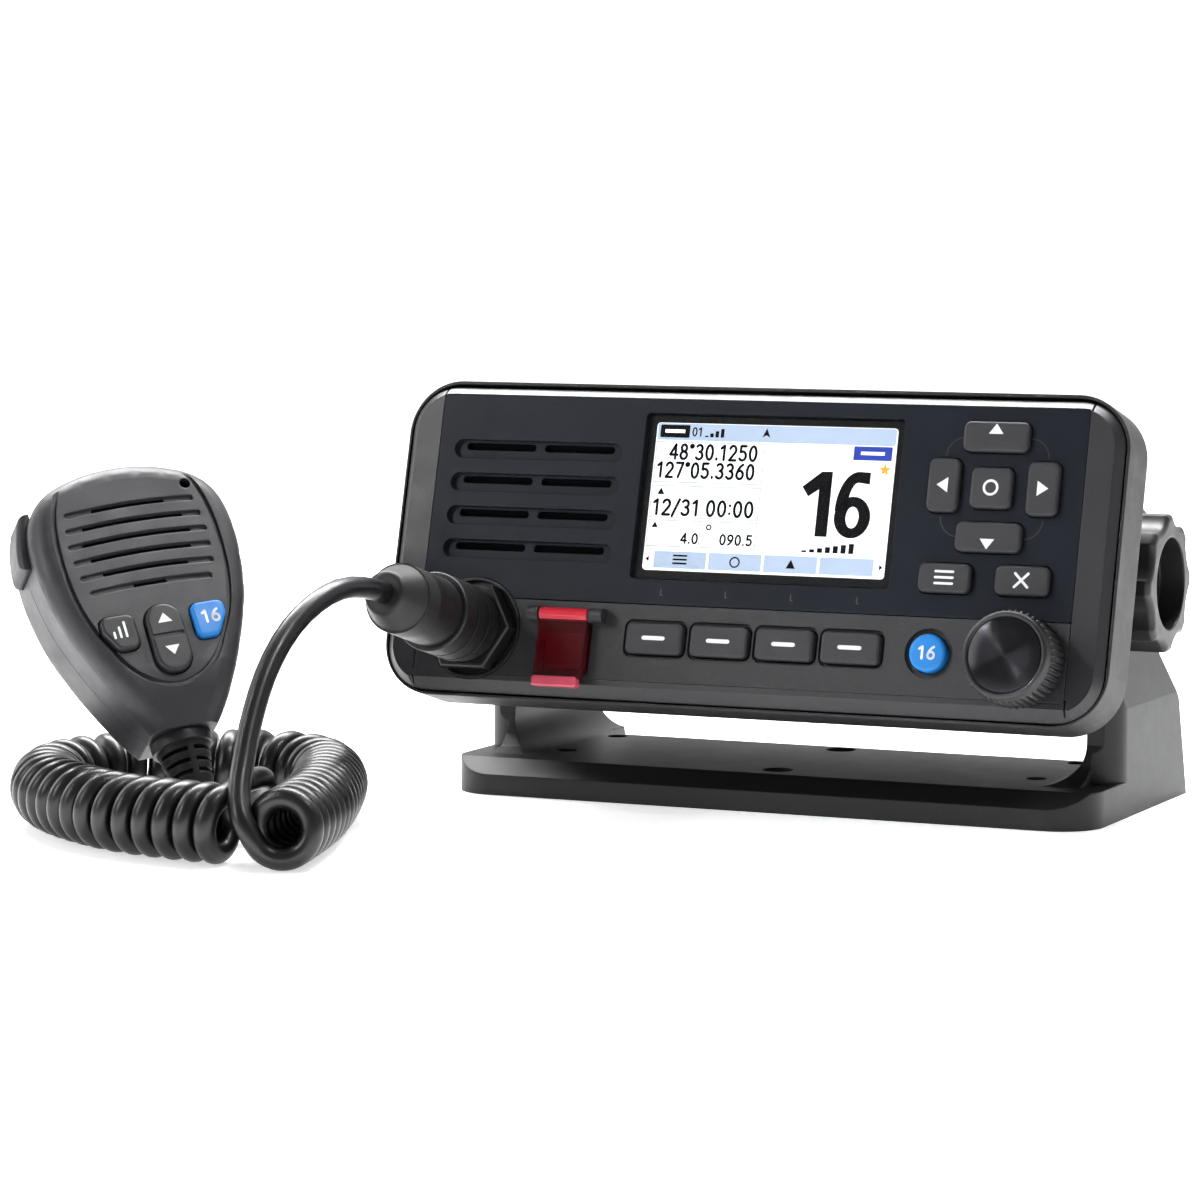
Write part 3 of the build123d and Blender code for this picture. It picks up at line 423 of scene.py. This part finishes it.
paint("cloth", "speaker_mesh")
paint("plug", "mic_socket", "socket_nut", "plug_body", "plug_ring")
paint("boot", "plug_boot", "mic_strain_relief")
paint("mic", "mic_front_shell", "mic_rear_shell", "mic_hanger_button")
paint("mickey", "mic_ptt", "mic_key_power", "mic_rocker")
paint("cord", curly)

# ------------------------------------------------------------------ pieces
FACE_ROWS = ((1, 0, 0, 0), (0, 0, -1, 0), (0, 1, 0, 0), (0, 0, 0, 1))


def link(name, bm, key, body, smooth=False):
    me = bpy.data.meshes.new(name)
    bmesh.ops.recalc_face_normals(bm, faces=bm.faces)
    bm.to_mesh(me)
    bm.free()
    if smooth:
        me.polygons.foreach_set("use_smooth", [True] * len(me.polygons))
    ob = bpy.data.objects.new(name, me)
    COL.objects.link(ob)
    me.materials.append(MT[key])
    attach(ob, body)
    return ob


def add_prism(bm, pts, y0, y1, frame):
    """A prism from y0 to y1 over an outline given across the face, in millimetres."""
    lo = [bm.verts.new(frame @ Vector((x, y0, z))) for x, z in pts]
    hi = [bm.verts.new(frame @ Vector((x, y1, z))) for x, z in pts]
    n = len(pts)
    bm.faces.new(lo)
    bm.faces.new(hi[::-1])
    for i in range(n):
        j = (i + 1) % n
        bm.faces.new((lo[j], lo[i], hi[i], hi[j]))


def plates(name, shapes, y0, y1, key, body, frame, bevel=0.0):
    bm = bmesh.new()
    for pts in shapes:
        add_prism(bm, pts, y0, y1, frame)
    ob = link(name, bm, key, body)
    if bevel > 0:
        md = ob.modifiers.new("edge", "BEVEL")
        md.width = bevel * 0.001
        md.segments = 3
        md.limit_method = "ANGLE"
    return ob


def rounded(x0, x1, z0, z1, r, n=5):
    out = []
    for cx, cz, a0 in ((x1 - r, z1 - r, 0), (x0 + r, z1 - r, 90), (x0 + r, z0 + r, 180), (x1 - r, z0 + r, 270)):
        for i in range(n + 1):
            a = math.radians(a0 + 90 * i / n)
            out.append((cx + r * math.cos(a), cz + r * math.sin(a)))
    return out


def ring_pts(cx, cz, r0, r1, a0=0.0, a1=360.0, n=28):
    """Quads of a band between two radii."""
    out = []
    for i in range(n):
        a, b = math.radians(a0 + (a1 - a0) * i / n), math.radians(a0 + (a1 - a0) * (i + 1) / n)
        out.append([(cx + r0 * math.cos(a), cz + r0 * math.sin(a)), (cx + r1 * math.cos(a), cz + r1 * math.sin(a)),
                    (cx + r1 * math.cos(b), cz + r1 * math.sin(b)), (cx + r0 * math.cos(b), cz + r0 * math.sin(b))])
    return out


def bar(x0, z0, x1, z1, w, n=4):
    """A line of width w with round ends."""
    a = math.atan2(z1 - z0, x1 - x0)
    out = []
    for cx, cz, s in ((x1, z1, a - math.pi / 2), (x0, z0, a + math.pi / 2)):
        for i in range(n + 1):
            b = s + math.pi * i / n
            out.append((cx + w / 2 * math.cos(b), cz + w / 2 * math.sin(b)))
    return out


def oval(cx, cz, rx, rz, a0, a1, n=12):
    return [(cx + rx * math.cos(math.radians(a0 + (a1 - a0) * i / n)), cz + rz * math.sin(math.radians(a0 + (a1 - a0) * i / n))) for i in range(n + 1)]


SIX = [[(0.80, 1.0), (0.52, 0.86), (0.28, 0.63), (0.15, 0.38), (0.13, 0.27)], oval(0.5, 0.29, 0.37, 0.29, 0, 360, 16)]
STROKES = {
    "0": [oval(0.5, 0.5, 0.37, 0.5, 0, 360, 18)],
    "1": [[(0.22, 0.80), (0.58, 1.0), (0.58, 0.0)]],
    "2": [oval(0.5, 0.72, 0.36, 0.28, 165, -35, 9) + [(0.13, 0.0), (0.88, 0.0)]],
    "3": [oval(0.47, 0.76, 0.34, 0.24, 150, -90, 9), oval(0.47, 0.27, 0.39, 0.27, 88, -150, 10)],
    "4": [[(0.70, 0.0), (0.70, 1.0), (0.08, 0.28), (0.94, 0.28)]],
    "5": [[(0.84, 1.0), (0.24, 1.0), (0.20, 0.58)] + oval(0.46, 0.32, 0.40, 0.31, 118, -145, 11)],
    "6": SIX,
    "7": [[(0.12, 1.0), (0.88, 1.0), (0.38, 0.0)]],
    "8": [oval(0.5, 0.76, 0.31, 0.24, 0, 360, 14), oval(0.5, 0.26, 0.38, 0.26, 0, 360, 14)],
    "9": [[(1 - x, 1 - z) for x, z in st] for st in SIX],
    ".": [[(0.5, 0.02), (0.5, 0.10)]],
    ":": [[(0.5, 0.18), (0.5, 0.21)], [(0.5, 0.72), (0.5, 0.75)]],
    "/": [[(0.15, -0.08), (0.85, 1.05)]],
    "'": [oval(0.5, 0.90, 0.16, 0.10, 0, 360, 8)],
}
NARROW = {".": 0.45, ":": 0.45, " ": 0.45, "'": 0.55, "/": 0.75, "1": 0.85}


def numerals(name, items, key, body, frame):
    """Plain numerals lying on a face: (digits, height, centre x, centre z, front y, stroke, width of a digit)."""
    bm = bmesh.new()
    for digits, high, x, z, y, stroke, wide in items:
        total = sum(wide * NARROW.get(c, 1.0) for c in digits)
        at = x - total / 2
        for c in digits:
            adv = wide * NARROW.get(c, 1.0)
            w = wide * 0.84
            for st in STROKES.get(c, []):
                pts = [(at + adv / 2 + (px - 0.5) * w, z + (pz - 0.5) * high) for px, pz in st]
                for q in range(len(pts) - 1):
                    add_prism(bm, bar(pts[q][0], pts[q][1], pts[q + 1][0], pts[q + 1][1], stroke, 3), y, y + 0.02, frame)
            at += adv
    return link(name, bm, key, body)


# display: a lit sheet with blocks, rules and numerals in front of it, behind a clear lens
S0, S1, T0, T1 = -27.7, 38.35, -10.78, 27.67


def lx(s):
    return S0 + (S1 - S0) * s


def lz(t_):
    return T1 - (T1 - T0) * t_


def block(s0, s1, t0, t1, r=0.3):
    return rounded(lx(s0), lx(s1), lz(t1), lz(t0), r, 3)


lens = plates("display_lens", [rounded(-30.25, 40.35, -13.25, 29.75, 1.1)], 0.5, 0.95, "lens", "transceiver", UNIT, 0.12)
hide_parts("display_window")
plates("screen_sheet", [rounded(S0, S1, T0, T1, 0.9)], 1.30, 1.60, "lit", "transceiver", UNIT)
pale = [block(0.004, 0.996, 0.004, 0.118, 0.5)]
for k in range(4):
    pale.append(block(0.045 + 0.230 * k, 0.265 + 0.230 * k, 0.870, 0.985))
plates("screen_bands", pale, 1.27, 1.29, "lit_blue", "transceiver", UNIT)
rules = []
for s0, s1, t0, t1 in ((0.004, 0.462, 0.128, 0.405), (0.004, 0.462, 0.425, 0.645), (0.004, 0.228, 0.660, 0.840), (0.236, 0.462, 0.660, 0.840)):
    x0, x1, z0, z1 = lx(s0), lx(s1), lz(t1), lz(t0)
    w = 0.22
    rules += [[(x0, z1 - w), (x1, z1 - w), (x1, z1), (x0, z1)], [(x0, z0), (x1, z0), (x1, z0 + w), (x0, z0 + w)],
              [(x1 - w, z0), (x1, z0), (x1, z1), (x1 - w, z1)], [(x0, z0), (x0 + w, z0), (x0 + w, z1), (x0, z1)]]
plates("screen_rules", rules, 1.27, 1.29, "lit_grey", "transceiver", UNIT)
plates("screen_tag", [block(0.828, 0.985, 0.125, 0.218, 0.25)], 1.27, 1.29, "lit_badge", "transceiver", UNIT)
star = []
for k in range(10):
    a = math.radians(90 + 36 * k)
    rr = 1.75 if k % 2 == 0 else 0.72
    star.append((lx(0.962) + rr * math.cos(a), lz(0.278) + rr * math.sin(a)))
plates("screen_star", [star], 1.27, 1.29, "lit_gold", "transceiver", UNIT)
ink = [block(0.016, 0.140, 0.014, 0.100, 0.35)]
# small symbols: level bars, a compass needle, arrows, menu glyphs
for k in range(4):
    ink.append(block(0.205 + 0.022 * k, 0.219 + 0.022 * k, 0.082 - 0.016 * k, 0.092, 0.02))
ink.append([(lx(0.445), lz(0.085)), (lx(0.462), lz(0.022)), (lx(0.479), lz(0.085)), (lx(0.462), lz(0.068))])
ink.append([(lx(0.010), lz(0.925)), (lx(0.024), lz(0.905)), (lx(0.024), lz(0.945))])
ink.append([(lx(0.992), lz(0.925)), (lx(0.978), lz(0.945)), (lx(0.978), lz(0.905))])
for k in range(3):
    ink.append(block(0.125, 0.185, 0.892 + 0.026 * k, 0.904 + 0.026 * k, 0.1))
ink += ring_pts(lx(0.385), lz(0.928), 1.05, 1.45, n=20)
ink.append([(lx(0.598), lz(0.955)), (lx(0.617), lz(0.895)), (lx(0.636), lz(0.955))])
for k in range(7):
    ink.append(block(0.655 + 0.032 * k, 0.676 + 0.032 * k, 0.838 - 0.009 * (k + 1), 0.842, 0.05))
ink.append([(lx(0.030), lz(0.487)), (lx(0.045), lz(0.440)), (lx(0.060), lz(0.487))])
ink.append([(lx(0.020), lz(0.712)), (lx(0.034), lz(0.672)), (lx(0.048), lz(0.712))])
ink += ring_pts(lx(0.262), lz(0.700), 0.42, 0.80, n=16)
plates("screen_symbols", ink, 1.24, 1.26, "ink", "transceiver", UNIT)
numerals("screen_numerals", [
    ("48'30.1250", 3.75, lx(0.248), lz(0.195), 1.24, 0.70, 2.80),
    ("127'05.3360", 3.75, lx(0.222), lz(0.320), 1.24, 0.70, 2.80),
    ("12/31 00:00", 3.85, lx(0.228), lz(0.573), 1.24, 0.72, 3.05),
    ("4.0", 2.5, lx(0.185), lz(0.780), 1.24, 0.52, 2.1),
    ("090.5", 2.5, lx(0.380), lz(0.780), 1.24, 0.52, 2.1),
    ("01", 2.1, lx(0.172), lz(0.058), 1.24, 0.38, 1.7),
], "ink", "transceiver", UNIT)
# the large channel number, drawn with plain strokes
one = [(lx(0.702), lz(0.735)), (lx(0.702), lz(0.420)), (lx(0.660), lz(0.470)), (lx(0.632), lz(0.405)), (lx(0.708), lz(0.300)), (lx(0.752), lz(0.300)),
       (lx(0.752), lz(0.735))]
bm = bmesh.new()
add_prism(bm, one, 1.24, 1.26, UNIT)


def band(outer, inner):
    for k in range(len(outer)):
        j = (k + 1) % len(outer)
        add_prism(bm, [outer[k], outer[j], inner[j], inner[k]], 1.24, 1.26, UNIT)


C6 = (lx(0.848), lz(0.600))
outer6, inner6 = [], []
for k in range(32):
    a = 2 * math.pi * k / 32
    outer6.append((C6[0] + 4.9 * math.cos(a), C6[1] + 5.35 * math.sin(a)))
    inner6.append((C6[0] + 1.75 * math.cos(a), C6[1] + 2.75 * math.sin(a)))
band(outer6, inner6)
stem_o, stem_i = [], []
for k in range(15):
    f = k / 14
    a = math.radians(180 - 88 * f)
    stem_o.append((C6[0] + 0.9 + 5.8 * math.cos(a), lz(0.560) + 10.2 * math.sin(a)))
    stem_i.append((C6[0] + 0.9 + 2.6 * math.cos(a), lz(0.560) + 7.4 * math.sin(a)))
for k in range(14):
    add_prism(bm, [stem_o[k], stem_o[k + 1], stem_i[k + 1], stem_i[k]], 1.24, 1.26, UNIT)
add_prism(bm, [stem_o[14], (C6[0] + 3.9, lz(0.560) + 10.1), (C6[0] + 3.9, lz(0.560) + 7.0), stem_i[14]], 1.24, 1.26, UNIT)
link("screen_channel", bm, "ink", "transceiver")
plates("screen_tag_marks", [block(0.036, 0.120, 0.045, 0.068, 0.1), block(0.858, 0.955, 0.160, 0.182, 0.1)], 1.21, 1.23, "lit", "transceiver", UNIT)

# sloping edge round the screen's recess, which catches the light below
bm = bmesh.new()
oo, ii = rounded(-30.75, 40.85, -13.75, 30.25, 1.5, 6), rounded(-30.42, 40.52, -13.42, 29.92, 1.22, 6)
for k in range(len(oo)):
    j = (k + 1) % len(oo)
    v = [bm.verts.new(UNIT @ Vector(q)) for q in ((oo[k][0], -0.04, oo[k][1]), (oo[j][0], -0.04, oo[j][1]), (ii[j][0], 0.30, ii[j][1]), (ii[k][0], 0.30, ii[k][1]),
                                                  (oo[k][0], 0.10, oo[k][1]), (oo[j][0], 0.10, oo[j][1]))]
    bm.faces.new((v[0], v[1], v[2], v[3]))
    bm.faces.new((v[1], v[0], v[4], v[5]))
bmesh.ops.remove_doubles(bm, verts=bm.verts, dist=1e-7)
link("screen_edge", bm, "panel", "transceiver")

# marks on the panel and keys
for k in range(4):
    u = -21.2 + 17.85 * k
    plates("tick_%d" % (k + 1), [bar(u, -15.9, u, -17.4, 0.30), bar(u, -17.4, u + 0.5, -17.4, 0.30)], -0.03, 0.05, "line", "transceiver", UNIT)
arcs = []
for cx, cz, a0, a1, x_end in ((57.2, 18.6 + 2.2, 90, 180, 0), (74.2, 18.6 + 2.2, 0, 90, 0), (57.2, 5.4, 180, 270, 0), (74.2, 5.2, 270, 360, 0)):
    arcs += ring_pts(cx, cz, 4.75, 5.05, a0, a1, 12)
plates("keypad_arcs", arcs, -0.04, 0.05, "arc", "transceiver", UNIT)
W = {
    "key_up": [[(63.5, 26.4), (67.3, 26.4), (65.4, 29.0)]],
    "key_down": [[(63.8, -0.1), (65.7, -2.7), (67.6, -0.1)]],
    "key_left": [[(51.1, 13.2), (54.0, 11.3), (54.0, 15.1)]],
    "key_right": [[(80.3, 13.0), (77.4, 14.9), (77.4, 11.1)]],
    "key_enter": ring_pts(65.3, 12.85, 1.45, 2.05),
    "key_menu": [bar(53.1, -10.15 + d, 57.7, -10.15 + d, 0.62) for d in (-1.5, 0.0, 1.5)],
    "key_clear": [bar(73.9, -11.8, 77.3, -8.4, 0.66), bar(73.9, -8.4, 77.3, -11.8, 0.66)],
}
for n, shapes in W.items():
    plates("mark_" + n, shapes, -1.75, -1.60, "white", n, UNIT)
for k in range(4):
    u = -21.3 + 17.85 * k
    plates("mark_soft_key_%d" % (k + 1), [bar(u - 2.7, -28.8, u + 2.7, -28.8, 1.05)], -1.45, -1.30, "white", "soft_key_%d" % (k + 1), UNIT)
numerals("mark_key_channel", [("16", 3.0, 52.85, -29.15, -1.76, 0.62, 2.7)], "white", "key_channel", UNIT)

# guard over the key: clear red plate with cheeks, hinge barrel and finger tab
guard = plates("guard_plate", [rounded(-53.0, -39.5, -41.6, -25.0, 0.5)], -3.3, -2.1, "guard", "distress_guard", UNIT, 0.18)
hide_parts("distress_lid")
plates("guard_cheeks", [[(-53.0, -38.6), (-51.9, -38.6), (-51.9, -26.2), (-53.0, -26.2)], [(-40.6, -38.6), (-39.5, -38.6), (-39.5, -26.2), (-40.6, -26.2)]],
       -2.09, 1.1, "guard", "distress_guard", UNIT, 0.15)
bm = bmesh.new()
rows = []
prof = ((0.86, 0.0), (1.60, 0.0), (1.75, 0.15), (1.75, 13.35), (1.60, 13.5), (0.86, 13.5))
for k in range(28):
    a = 2 * math.pi * k / 28
    rows.append([bm.verts.new(UNIT @ Vector((-53.0 + x, -2.2 + r * math.cos(a), -23.9 + r * math.sin(a)))) for r, x in prof])
for k in range(28):
    j = (k + 1) % 28
    for q in range(len(prof)):
        w = (q + 1) % len(prof)
        bm.faces.new((rows[k][q], rows[k][w], rows[j][w], rows[j][q]))
barrel = link("guard_barrel", bm, "guard_hinge", "distress_guard")
tab = plates("guard_tab", [rounded(-52.6, -39.9, -43.0, -40.2, 0.9)], -5.2, -2.0, "guard_tab", "distress_guard", UNIT, 0.55)

# rotary dial: smooth rim, ribbed side, spun face. Each has its own axis as local Z.
AXIS = UNIT @ Matrix.Translation((77.0, 0, -30.4)) @ Matrix.Rotation(math.radians(90), 4, "X")
AXIS_R = AXIS.to_3x3().normalized().to_4x4()
AXIS_R.translation = AXIS.translation


def turned(name, profile, key, body, sides=192, ribs=0, depth=0.0):
    """A turned piece about local Z, in millimetres. Ribs are cut where the third number is 1."""
    bm = bmesh.new()
    cols = []
    for k in range(sides):
        a = 2 * math.pi * k / sides
        w = 0.5 + 0.5 * math.cos(ribs * a) if ribs else 0.0
        w = min(1.0, max(0.0, 1.5 * w - 0.25))
        col = []
        for r, z, cut in profile:
            rr = r - depth * w * cut
            col.append(bm.verts.new((rr * math.cos(a) * 0.001, rr * math.sin(a) * 0.001, z * 0.001)))
        cols.append(col)
    for k in range(sides):
        j = (k + 1) % sides
        for q in range(len(profile) - 1):
            bm.faces.new((cols[k][q], cols[j][q], cols[j][q + 1], cols[k][q + 1]))
    for q in (0, len(profile) - 1):
        bm.faces.new([c[q] for c in cols])
    me = bpy.data.meshes.new(name)
    bmesh.ops.recalc_face_normals(bm, faces=bm.faces)
    bm.to_mesh(me)
    bm.free()
    me.polygons.foreach_set("use_smooth", [True] * (len(me.polygons) - 2) + [False] * 2)
    ob = bpy.data.objects.new(name, me)
    COL.objects.link(ob)
    ob.matrix_world = AXIS_R
    me.materials.append(MT[key])
    bpy.context.view_layer.update()
    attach(ob, body)
    return ob


dial = turned("dial_cap", [(3.05, 9.6, 0), (3.05, 5.0, 0), (5.0, 5.0, 0), (5.0, 1.2, 0), (10.6, 1.2, 0), (11.3, 1.5, 0), (11.7, 1.9, 1), (11.7, 9.6, 1), (11.5, 10.0, 1),
                            (11.1, 10.15, 0), (11.0, 10.3, 0), (11.0, 12.0, 0), (10.9, 12.5, 0), (10.6, 12.95, 0), (10.1, 13.15, 0), (9.7, 13.05, 0), (9.5, 12.75, 0),
                            (9.4, 12.5, 0)], "knob", "dial", sides=352, ribs=44, depth=0.85)
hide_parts("dial_knob")
disc = turned("dial_face", [(0.02, 12.5, 0), (9.28, 12.5, 0), (9.28, 12.78, 0), (9.1, 12.86, 0), (6.0, 12.83, 0), (3.0, 12.80, 0), (0.02, 12.78, 0)], "spun", "dial", sides=128)
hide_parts("dial_disc")

# microphone marks
plates("mark_mic_rocker", [[(-1.85, 19.6), (1.85, 19.6), (0, 22.1)], [(-1.85, 13.2), (0, 10.7), (1.85, 13.2)]], -14.87, -14.7, "white", "mic_rocker", MIC)
plates("mark_mic_left_key", [bar(-13.4, 17.6, -13.4, 19.0, 0.6), bar(-11.9, 17.6, -11.9, 20.2, 0.6), bar(-10.4, 17.6, -10.4, 21.4, 0.6)], -14.67, -14.5, "white", "mic_left_key", MIC)
numerals("mark_mic_right_key", [("16", 3.1, 11.9, 19.4, -14.67, 0.66, 2.8)], "white", "mic_right_key", MIC)

# ------------------------------------------------------------------ studio
scene = bpy.context.scene
scene.view_settings.view_transform = "Standard"
floor_me = bpy.data.meshes.new("floor")
bm = bmesh.new()
prof = [(-5.0, 0.0), (1.2, 0.0)]
for k in range(1, 17):
    a = math.radians(90 * k / 16)
    prof.append((1.2 + 1.6 * math.sin(a), 1.6 * (1 - math.cos(a))))
prof.append((2.8, 5.0))
rows = []
for y, z in prof:
    rows.append([bm.verts.new((x, y, z)) for x in (-6.0, 6.0)])
for k in range(len(rows) - 1):
    bm.faces.new((rows[k][0], rows[k][1], rows[k + 1][1], rows[k + 1][0]))
bmesh.ops.recalc_face_normals(bm, faces=bm.faces)
for f in bm.faces:
    f.smooth = True
bm.to_mesh(floor_me)
bm.free()
floor = bpy.data.objects.new("floor", floor_me)
COL.objects.link(floor)
MT["floor"] = material("floor_pale", (0.93, 0.93, 0.935), 0.85, mottle=0.006, spec=0.1, emit=0.62)
floor_me.materials.append(MT["floor"])

world = bpy.data.worlds.new("studio")
bpy.context.scene.world = world
world.use_nodes = True
world.node_tree.nodes["Background"].inputs[0].default_value = (0.985, 0.99, 1.0, 1)
world.node_tree.nodes["Background"].inputs[1].default_value = 0.25


def softbox(name, loc, target, size, power, size_y=None, spread=180):
    li = bpy.data.lights.new(name, "AREA")
    li.energy = power
    li.shape = "RECTANGLE"
    li.size, li.size_y = size, size_y or size
    li.spread = math.radians(spread)
    ob = bpy.data.objects.new(name, li)
    COL.objects.link(ob)
    ob.location = loc
    ob.rotation_mode = "QUATERNION"
    ob.rotation_quaternion = (Vector(target) - Vector(loc)).to_track_quat("-Z", "Y")
    return ob


softbox("top_light", (-0.40, 0.46, 1.06), (-0.38, -0.05, 0.05), 1.5, 44.0, 0.30)
softbox("left_light", (-0.66, -0.80, 0.46), (-0.10, -0.08, 0.06), 0.20, 2.6, 0.45)
softbox("left_rim", (-1.3, 0.1, 0.5), (-0.12, -0.12, 0.04), 0.5, 4.0, 0.7)
softbox("right_light", (1.3, -0.5, 0.6), (0.05, 0, 0.05), 0.4, 0.4, 0.7)
softbox("mic_light", (0.42, -0.24, 0.88), (-0.135, -0.12, 0.055), 0.14, 0.065, spread=24)
softbox("dial_light", (-0.84, -0.62, 0.96), (0.077, -0.07, 0.047), 0.14, 0.07, spread=12)
